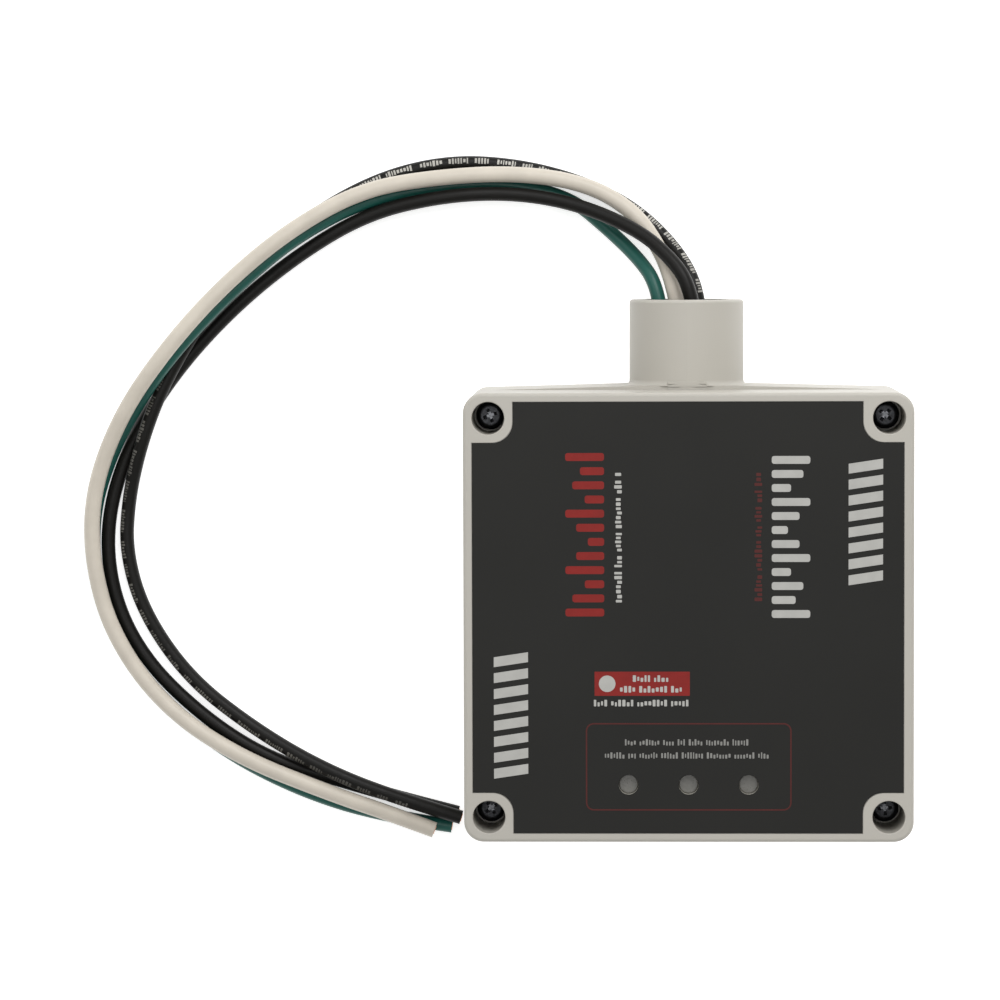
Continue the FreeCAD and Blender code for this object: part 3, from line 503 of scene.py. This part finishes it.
def level_bars(shape, centre, size, direction):
    """A column of bars of changing length, aligned at one side, like a level meter."""
    low, high = ink_heights()
    shares = (1.0, 0.62, 0.82, 0.5, 1.0, 0.72, 0.42, 0.72, 1.0, 0.5, 0.82, 1.0)
    pitch = size[1] / len(shares)
    thick = pitch * 0.56
    for number, share in enumerate(shares):
        wide = size[0] * share
        y = centre[1] + direction * (size[1] / 2 - pitch * (number + 0.5))
        x = centre[0] + direction * (size[0] - wide) / 2
        prism(shape, rounded_outline((x, y), (wide, thick), thick * 0.3, 3), low, high)


def slanted_stripes(shape, centre, size, count=8):
    """A plate of slanted stripes."""
    low, high = ink_heights()
    pitch = size[1] / count
    half, rise, thick = size[0] / 2, pitch * 0.32, pitch * 0.62
    for number in range(count):
        y = centre[1] - size[1] / 2 + pitch * (number + 0.5)
        corners = ((-half, -thick / 2 - rise / 2), (half, -thick / 2 + rise / 2),
                   (half, thick / 2 + rise / 2), (-half, thick / 2 - rise / 2))
        prism(shape, [((centre[0] + x) * MM, (y + dy) * MM) for x, dy in corners], low, high)


def print_marks():
    """All ink on the overlay: a red set and a grey set, none of it lettering."""
    red = material("ink_red", (0.195, 0.0085, 0.006), 0.5, grain=(5200, 0.05), blotch=(260, 0.08),
                   specular=0.3)
    dark_red = material("ink_dark_red", (0.068, 0.0095, 0.008), 0.5, grain=(5200, 0.05),
                        blotch=(260, 0.08), specular=0.3)
    grey = material("ink_grey", (0.378, 0.374, 0.352), 0.5, grain=(5200, 0.05), blotch=(260, 0.05),
                    specular=0.3)
    low, high = ink_heights()

    shape = bmesh.new()
    level_bars(shape, (-29.9, 24.1), (11.2, 49.0), 1)
    panel = rounded_outline((-13.4, -19.0), (27.5, 7.0), 0.15, 2)
    prism(shape, panel, low, low + INK_THICK * MM * 0.5)
    add_mesh("print_red_blocks", shape, red, "cover")

    shape = bmesh.new()
    frame_out = rounded_outline((0.0, -43.1), (59.4, 25.4), 2.3, 8)
    frame_in = rounded_outline((0.0, -43.1), (58.6, 24.6), 1.9, 8)
    prism(shape, frame_out, low, high, frame_in)
    word_bars(shape, (20.1, 23.9), (38.0, 2.2), 11, upright=True)
    add_mesh("print_red_lines", shape, dark_red, "cover")

    shape = bmesh.new()
    level_bars(shape, (29.5, 23.4), (11.1, 48.5), -1)
    slanted_stripes(shape, (51.0, 27.7), (9.9, 36.8))
    slanted_stripes(shape, (-51.3, -28.2), (9.9, 37.0))
    word_bars(shape, (-20.3, 23.7), (38.3, 2.2), 5, upright=True)
    word_bars(shape, (-10.6, -17.5), (11.0, 1.9), 7)
    word_bars(shape, (-10.3, -20.6), (19.0, 1.9), 3)
    word_bars(shape, (-13.5, -24.6), (27.7, 1.9), 8)
    prism(shape, rounded_outline((-23.5, -19.0), (4.8, 4.8), 2.4, 8), low, high)
    add_mesh("print_grey", shape, grey, "cover")

    faint = material("ink_faint_grey", (0.21, 0.207, 0.195), 0.5, grain=(5200, 0.05),
                     blotch=(260, 0.05), specular=0.3)
    shape = bmesh.new()
    word_bars(shape, (-0.4, -36.0), (36.0, 1.8), 21, share=0.55)
    word_bars(shape, (-0.35, -39.8), (47.7, 1.8), 33, share=0.55)
    add_mesh("print_faint_lines", shape, faint, "cover")


# ---- small details on the circuit board ----------------------------------------------------------
def board_details():
    """Solder at the legs, part outlines on the board, and colour bands on the small parts."""
    solder = material("solder_tin", (0.60, 0.60, 0.59), 0.22, metal=1.0, grain=(2600, 0.25),
                      blotch=(700, 0.15))
    outline = material("board_outline_ink", (0.66, 0.66, 0.62), 0.6, grain=(4000, 0.1),
                       blotch=(300, 0.1))
    brown = material("band_brown", (0.06, 0.018, 0.008), 0.35, grain=(2600, 0.1))
    gold = material("band_gold", (0.50, 0.31, 0.07), 0.35, metal=0.6, grain=(2600, 0.1))
    silver = material("band_silver", (0.50, 0.50, 0.49), 0.35, grain=(2600, 0.1))

    fillet = ((0.40, 0.0), (1.15, 0.0), (0.85, 0.25), (0.62, 0.7), (0.50, 1.1))
    shape = bmesh.new()
    for x in BANKS:
        for y in DISC_ROWS:
            for side in (-1, 1):
                turned(shape, fillet, (x + side * DISC_LEG, y + side, BOARD_TOP))
    foot = ((0.50, 0.0), (1.15, 0.0), (0.90, 0.2), (0.70, 0.5), (0.60, 0.8))
    for x in LIGHTS_X:
        for side in (-1, 1):
            turned(shape, foot, (x + BESIDE_LIGHT, LIGHTS_Y + side * RESISTOR_FOOT, BOARD_TOP))
            turned(shape, foot, (x - BESIDE_LIGHT, LIGHTS_Y + side * DIODE_FOOT, BOARD_TOP))
    add_mesh("board_solder", shape, solder, "base")

    shape = bmesh.new()
    low, high = BOARD_TOP * MM, (BOARD_TOP + INK_THICK) * MM
    boxes = [((x, DISC_ROWS[1]), (23.4, 22.6)) for x in BANKS]
    boxes += [((x, FUSES_Y), (24.4, 7.6)) for x in BANKS]
    boxes += [((x, CAPACITORS_Y), (20.0, 10.0)) for x in CAPACITORS_X]
    boxes += [(TUBE_AT, (11.0, 10.0))]
    for centre, size in boxes:
        inner = (size[0] - 0.5, size[1] - 0.5)
        prism(shape, rounded_outline(centre, size, 1.0, 4), low, high,
              rounded_outline(centre, inner, 0.75, 4))
    add_mesh("board_outlines", shape, outline, "base")

    for name, made, slot, side, radius, height, spots in (
            ("resistor_bands", brown, "resistor_lacquer", 1, 1.5, 13.4, (-2.3, -1.1, 0.1)),
            ("resistor_gold_bands", gold, "resistor_lacquer", 1, 1.5, 13.4, (2.2,)),
            ("diode_bands", silver, "diode_epoxy", -1, 1.3, 13.2, (1.4,))):
        shape = bmesh.new()
        wall = ((radius - 0.03, -0.35), (radius + 0.02, -0.35), (radius + 0.02, 0.35),
                (radius - 0.03, 0.35))
        for x in LIGHTS_X:
            for spot in spots:
                turned(shape, wall, (x + side * BESIDE_LIGHT, LIGHTS_Y + spot, height), "Y", 28)
        add_mesh(name, shape, made, "base")


# ---- leads ---------------------------------------------------------------------------------------
def lead_curve(name, route, diameter):
    """A round lead along a smooth spline whose control points are its route."""
    data = bpy.data.curves.new(name, "CURVE")
    data.dimensions = "3D"
    spline = data.splines.new("NURBS")
    spline.points.add(len(route) - 1)
    for point, place in zip(spline.points, route):
        point.co = (*[value * MM for value in place], 1)
    spline.order_u = 3
    spline.use_endpoint_u = True
    data.resolution_u = 10
    data.bevel_depth = diameter * MM / 2
    data.bevel_resolution = 7
    data.use_fill_caps = True
    lead = bpy.data.objects.new(name, data)
    bpy.context.scene.collection.objects.link(lead)
    return lead


def centre_line(lead):
    """Points along a lead's own spline, read from the curve without its thickness."""
    bare = lead.data.copy()
    bare.bevel_depth = 0
    holder = bpy.data.objects.new("centre_line", bare)
    bpy.context.scene.collection.objects.link(holder)
    graph = bpy.context.evaluated_depsgraph_get()
    mesh = bpy.data.meshes.new_from_object(holder.evaluated_get(graph))
    points = [v.co.copy() for v in mesh.vertices]
    bpy.data.objects.remove(holder)
    bpy.data.meshes.remove(mesh)
    return points


def at_length(points, distance):
    """The point and direction at a distance along a line of points."""
    for a, b in zip(points, points[1:]):
        step = (b - a).length
        if distance <= step:
            return a.lerp(b, distance / step), (b - a).normalized()
        distance -= step
    return points[-1], (points[-1] - points[-2]).normalized()


def strand_ends(name, points, made):
    """The cut face of the conductor: nineteen round copper strands that stand just proud."""
    end, heading = at_length(points, math.inf)
    side = heading.cross(Vector((0, 0, 1))).normalized()
    up = side.cross(heading)
    strand_r = STRAND_R * MM
    places = [(0.0, 0.0)]
    for count, radius in STRAND_RINGS:
        places += [(radius * math.cos(math.tau * k / count), radius * math.sin(math.tau * k / count))
                   for k in range(count)]
    shape = bmesh.new()
    for across, high in places:
        middle = end + (side * across + up * high) * strand_r
        rings = []
        for forward, share in ((-0.3 * MM, 1.0), (0.12 * MM, 1.0), (0.18 * MM, 0.7)):
            rings.append([shape.verts.new(middle + heading * forward
                                          + (side * math.cos(a) + up * math.sin(a)) * strand_r * share)
                          for a in [math.tau * k / STRAND_SIDES for k in range(STRAND_SIDES)]])
        for lower, upper in zip(rings, rings[1:]):
            for k in range(STRAND_SIDES):
                j = (k + 1) % STRAND_SIDES
                shape.faces.new((lower[k], lower[j], upper[j], upper[k]))
        shape.faces.new(rings[-1])
        shape.faces.new(rings[0][::-1])
    return add_mesh(name, shape, made, "base")


def jacket_marks(name, points, radius, made, stretches):
    """Small ink blocks in groups along stretches of the marked lead."""
    draw = random.Random(4)
    shape = bmesh.new()
    for start, stop, lean in stretches:
        place = start * MM
        while place < stop * MM:
            for _ in range(draw.randint(4, 9)):
                long = draw.uniform(*MARK_LENGTHS) * MM
                patch(shape, points, place, place + long, radius, lean,
                      draw.choice(MARK_HALF_ANGLES))
                place += long + MARK_GAP * MM
            place += draw.uniform(*WORD_GAPS) * MM
    return add_mesh(name, shape, made, "base")


def patch(shape, points, start, stop, radius, lean, half_angle):
    """One ink block wrapped on a lead's upper side, as a thin closed shell."""
    layers = []
    for lift in [height * MM for height in PATCH_LIFTS]:
        grid = []
        for distance in (start, (start + stop) / 2, stop):
            middle, heading = at_length(points, distance)
            side = heading.cross(Vector((0, 0, 1))).normalized()
            up = side.cross(heading)
            row = []
            for share in (-1, -0.33, 0.33, 1):
                angle = lean + half_angle * share
                out = up * math.cos(angle) + side * math.sin(angle)
                row.append(shape.verts.new(middle + out * (radius + lift)))
            grid.append(row)
        layers.append(grid)
    inner, outer = layers
    for i in range(2):
        for k in range(3):
            shape.faces.new((outer[i][k], outer[i][k + 1], outer[i + 1][k + 1], outer[i + 1][k]))
            shape.faces.new((inner[i + 1][k], inner[i + 1][k + 1], inner[i][k + 1], inner[i][k]))
    rim = [(0, 0), (0, 1), (0, 2), (0, 3), (1, 3), (2, 3), (2, 2), (2, 1), (2, 0), (1, 0)]
    for (i, k), (m, n) in zip(rim, rim[1:] + rim[:1]):
        shape.faces.new((inner[i][k], inner[m][n], outer[m][n], outer[i][k]))


def make_leads():
    """The four free leads, their cut ends and the marked one's ink."""
    jackets = lead_materials()
    copper = material("strand_copper", (0.72, 0.34, 0.20), 0.3, metal=1.0, grain=(4000, 0.2),
                      blotch=(900, 0.2))
    ink = material("jacket_ink", (0.34, 0.33, 0.30), 0.5, grain=(4000, 0.1), blotch=(30, 0.5))
    worn_ink = material("jacket_ink_worn", (0.10, 0.096, 0.085), 0.5, grain=(4000, 0.1),
                        blotch=(30, 0.6))
    for name, route, length, diameter, slot in LEADS:
        lead = lead_curve(f"{name}_lead_cord", route, diameter)
        lead.data.materials.append(jackets[slot])
        points = centre_line(lead)
        extras = [strand_ends(f"{name}_lead_strands", points, copper)]
        if name == "line2":
            extras.append(jacket_marks("line2_marking", points, diameter * MM / 2, ink,
                                       FRESH_STRETCHES))
            extras.append(jacket_marks("line2_worn_marking", points, diameter * MM / 2, worn_ink,
                                       WORN_STRETCHES))
        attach(lead, "base")
        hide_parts(f"{name}_lead")
        dress([f"{name}_tail"], jackets[slot])


make_camera()
make_leads()
make_light()
make_floor()
dress_nodes()
print_marks()
board_details()
